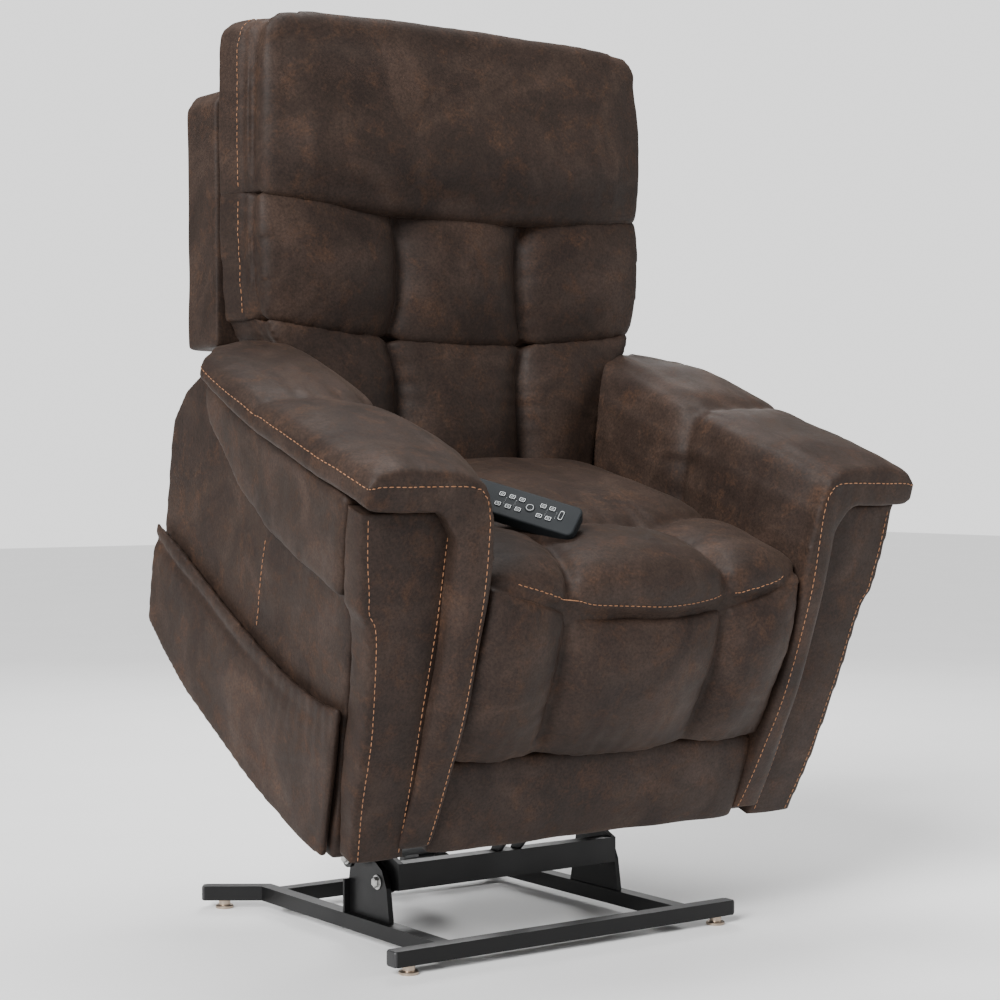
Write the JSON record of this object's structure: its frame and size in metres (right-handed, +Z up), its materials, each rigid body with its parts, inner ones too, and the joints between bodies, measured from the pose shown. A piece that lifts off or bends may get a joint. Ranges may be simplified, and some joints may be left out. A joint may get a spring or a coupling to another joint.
{
  "type": "lift recliner chair",
  "caption": "Power lift recliner, raised: padded seat, reclining back with tilting head cushion, fold-out footrest, handset and a tubular lift base.",
  "frame": {"origin": "on the floor, under the middle of the raised chair's bounding box", "axes": "+Z up, the chair faces -Y, the sitter's left hand is at +X; the plane x = 0 is the mirror plane"},
  "size_m": [0.96, 0.7948, 1.342],
  "materials": {
    "upholstery": "distressed suede-like faux leather, matt with a low sheen",
    "lining": "plain black lining cloth",
    "black_steel": "black powder coat, semi-gloss",
    "zinc_steel": "zinc-plated steel",
    "foot_metal": "bronze-coloured plated steel",
    "motor_plastic": "black moulded plastic",
    "handset_plastic": "charcoal moulded plastic, fine texture",
    "key_rubber": "dark silicone keys",
    "board": "plywood"
  },
  "bodies": {
    "base": {"front_crossbar": "black_steel", "rear_crossbar": "black_steel", "levelling_feet": "foot_metal", "base_pivot_pins": "zinc_steel", "side_rail_left": "black_steel", "side_rail_right": "black_steel", "lift_bracket_left": "black_steel", "lift_bracket_right": "black_steel"},
    "lift_arms": {"lift_arm_left": "black_steel", "lift_arm_right": "black_steel", "torque_bar": "black_steel"},
    "rear_link_pair": {"rear_links": "black_steel"},
    "seat_frame": {"chassis_plate_left": "black_steel", "chassis_plate_right": "black_steel", "chassis_cross_tubes": "black_steel", "chassis_pins": "zinc_steel", "seat_deck": "lining", "seat_cushion": "upholstery", "side_panel_left": "upholstery", "side_panel_right": "upholstery", "pocket_panel_left": "upholstery", "pocket_panel_right": "upholstery", "arm_front_left": "upholstery", "arm_front_right": "upholstery", "arm_inner_left": "upholstery", "arm_inner_right": "upholstery", "arm_cap_left": "upholstery", "arm_cap_right": "upholstery"},
    "lift_motor_body": {"lift_motor": "motor_plastic"},
    "lift_rod_body": {"lift_rod": "zinc_steel"},
    "back": {"back_frame": "board", "back_shell": "upholstery", "back_cushion": "upholstery"},
    "back_motor_body": {"back_motor": "motor_plastic"},
    "back_rod_body": {"back_rod": "zinc_steel"},
    "headrest": {"head_cushion": "upholstery", "head_plate": "zinc_steel"},
    "lumbar": {"lumbar_cushion": "upholstery", "lumbar_plate": "zinc_steel"},
    "footrest_upper_links": {"footrest_drive_links": "black_steel"},
    "footrest_lower_links": {"footrest_carry_links": "black_steel"},
    "footrest": {"footrest_board": "board", "footrest_upper_pad": "upholstery", "footrest_lower_pad": "upholstery"},
    "footrest_motor_body": {"footrest_motor": "motor_plastic"},
    "footrest_rod_body": {"footrest_rod": "zinc_steel"},
    "handset": {"handset_top": "handset_plastic", "handset_base": "handset_plastic"},
    "key_01_up_body": {"key_01_up": "key_rubber"},
    "key_01_down_body": {"key_01_down": "key_rubber"},
    "key_02_up_body": {"key_02_up": "key_rubber"},
    "key_02_down_body": {"key_02_down": "key_rubber"},
    "key_03_up_body": {"key_03_up": "key_rubber"},
    "key_03_down_body": {"key_03_down": "key_rubber"},
    "key_04_up_body": {"key_04_up": "key_rubber"},
    "key_04_down_body": {"key_04_down": "key_rubber"},
    "key_05_up_body": {"key_05_up": "key_rubber"},
    "key_05_down_body": {"key_05_down": "key_rubber"},
    "key_home_body": {"key_home": "key_rubber"},
    "key_light_body": {"key_light": "key_rubber"}
  },
  "joints": [
    {"name": "back_recline", "type": "hinge", "parent": "seat_frame", "child": "back", "pos_m": [0, 0.2246, 0.52982], "axis": [-1, 0, 0], "range_deg": [0, 45]},
    {"name": "footrest_extend", "type": "hinge", "parent": "seat_frame", "child": "footrest_upper_links", "pos_m": [0, -0.20579, 0.39659], "axis": [-1, 0, 0], "range_deg": [0, 102.8]},
    {"name": "handset_lift_off", "type": "slide", "parent": "seat_frame", "child": "handset", "axis": [0, -0.342, 0.9397], "range_m": [0, 0.12]},
    {"name": "headrest_tilt", "type": "hinge", "parent": "back", "child": "headrest", "pos_m": [0, 0.1215, 1.092], "axis": [1, 0, 0], "range_deg": [0, 25]},
    {"name": "lift_raise", "type": "hinge", "parent": "base", "child": "lift_arms", "pos_m": [0, 0.0115, 0.09], "axis": [1, 0, 0], "range_deg": [-62.8, 4]},
    {"name": "lumbar_push", "type": "slide", "parent": "back", "child": "lumbar", "axis": [0, -1, 0], "range_m": [0, 0.025]},
    {"name": "seat_tip", "type": "hinge", "parent": "lift_arms", "child": "seat_frame", "pos_m": [0, 0.1464, 0.33535], "axis": [1, 0, 0], "range_deg": [-4, 44]},
    {"name": "rear_link_swing", "type": "hinge", "parent": "base", "child": "rear_link_pair", "pos_m": [0, 0.0615, 0.12], "axis": [1, 0, 0], "range_deg": [-58, 5]},
    {"name": "lift_motor_swing", "type": "hinge", "parent": "base", "child": "lift_motor_body", "pos_m": [0, 0.2765, 0.078], "axis": [1, 0, 0], "range_deg": [-9, 2]},
    {"name": "lift_rod_slide", "type": "slide", "parent": "lift_motor_body", "child": "lift_rod_body", "axis": [0, -0.9742, 0.2257], "range_m": [-0.075, 0.006]},
    {"name": "back_motor_swing", "type": "hinge", "parent": "seat_frame", "child": "back_motor_body", "pos_m": [0, -0.12222, 0.37166], "axis": [-1, 0, 0], "range_deg": [-6.5, 1]},
    {"name": "back_rod_slide", "type": "slide", "parent": "back_motor_body", "child": "back_rod_body", "axis": [0, 0.9835, 0.1806], "range_m": [-0.066, 0.001]},
    {"name": "footrest_elbow", "type": "hinge", "parent": "footrest_upper_links", "child": "footrest_lower_links", "pos_m": [0, -0.16602, 0.27271], "axis": [-1, 0, 0], "range_deg": [-178, 1]},
    {"name": "footrest_tilt", "type": "hinge", "parent": "footrest_lower_links", "child": "footrest", "pos_m": [0, -0.21518, 0.39316], "axis": [-1, 0, 0], "range_deg": [-1, 165]},
    {"name": "footrest_motor_swing", "type": "hinge", "parent": "seat_frame", "child": "footrest_motor_body", "pos_m": [0, 0.14918, 0.46512], "axis": [-1, 0, 0], "range_deg": [-1, 4]},
    {"name": "footrest_rod_slide", "type": "slide", "parent": "footrest_motor_body", "child": "footrest_rod_body", "axis": [0, -0.9539, -0.3001], "range_m": [-0.001, 0.072]},
    {"name": "press_01_up", "type": "slide", "parent": "handset", "child": "key_01_up_body", "axis": [0.4949, 0.6136, -0.6152], "range_m": [0, 0.0008], "stiffness_N_per_m": 400},
    {"name": "press_01_down", "type": "slide", "parent": "handset", "child": "key_01_down_body", "axis": [0.4949, 0.6136, -0.6152], "range_m": [0, 0.0008], "stiffness_N_per_m": 400},
    {"name": "press_02_up", "type": "slide", "parent": "handset", "child": "key_02_up_body", "axis": [0.4949, 0.6136, -0.6152], "range_m": [0, 0.0008], "stiffness_N_per_m": 400},
    {"name": "press_02_down", "type": "slide", "parent": "handset", "child": "key_02_down_body", "axis": [0.4949, 0.6136, -0.6152], "range_m": [0, 0.0008], "stiffness_N_per_m": 400},
    {"name": "press_03_up", "type": "slide", "parent": "handset", "child": "key_03_up_body", "axis": [0.4949, 0.6136, -0.6152], "range_m": [0, 0.0008], "stiffness_N_per_m": 400},
    {"name": "press_03_down", "type": "slide", "parent": "handset", "child": "key_03_down_body", "axis": [0.4949, 0.6136, -0.6152], "range_m": [0, 0.0008], "stiffness_N_per_m": 400},
    {"name": "press_04_up", "type": "slide", "parent": "handset", "child": "key_04_up_body", "axis": [0.4949, 0.6136, -0.6152], "range_m": [0, 0.0008], "stiffness_N_per_m": 400},
    {"name": "press_04_down", "type": "slide", "parent": "handset", "child": "key_04_down_body", "axis": [0.4949, 0.6136, -0.6152], "range_m": [0, 0.0008], "stiffness_N_per_m": 400},
    {"name": "press_05_up", "type": "slide", "parent": "handset", "child": "key_05_up_body", "axis": [0.4949, 0.6136, -0.6152], "range_m": [0, 0.0008], "stiffness_N_per_m": 400},
    {"name": "press_05_down", "type": "slide", "parent": "handset", "child": "key_05_down_body", "axis": [0.4949, 0.6136, -0.6152], "range_m": [0, 0.0008], "stiffness_N_per_m": 400},
    {"name": "press_home", "type": "slide", "parent": "handset", "child": "key_home_body", "axis": [0.4949, 0.6136, -0.6152], "range_m": [0, 0.0008], "stiffness_N_per_m": 400},
    {"name": "press_light", "type": "slide", "parent": "handset", "child": "key_light_body", "axis": [0.4949, 0.6136, -0.6152], "range_m": [0, 0.0008], "stiffness_N_per_m": 400}
  ],
  "couplings": [
    {"joint": "seat_tip", "follows": "lift_raise", "ratio": -0.68168},
    {"joint": "rear_link_swing", "follows": "lift_raise", "ratio": 0.897},
    {"joint": "lift_motor_swing", "follows": "lift_raise", "ratio": 0.1308},
    {"joint": "lift_rod_slide", "follows": "lift_raise", "m_per_rad": 0.0655},
    {"joint": "back_motor_swing", "follows": "back_recline", "ratio": -0.122},
    {"joint": "back_rod_slide", "follows": "back_recline", "m_per_rad": -0.0807},
    {"joint": "footrest_elbow", "follows": "footrest_extend", "ratio": -1.708},
    {"joint": "footrest_tilt", "follows": "footrest_extend", "ratio": 1.5837},
    {"joint": "footrest_motor_swing", "follows": "footrest_extend", "ratio": 0.0281},
    {"joint": "footrest_rod_slide", "follows": "footrest_extend", "m_per_rad": 0.0384}
  ]
}
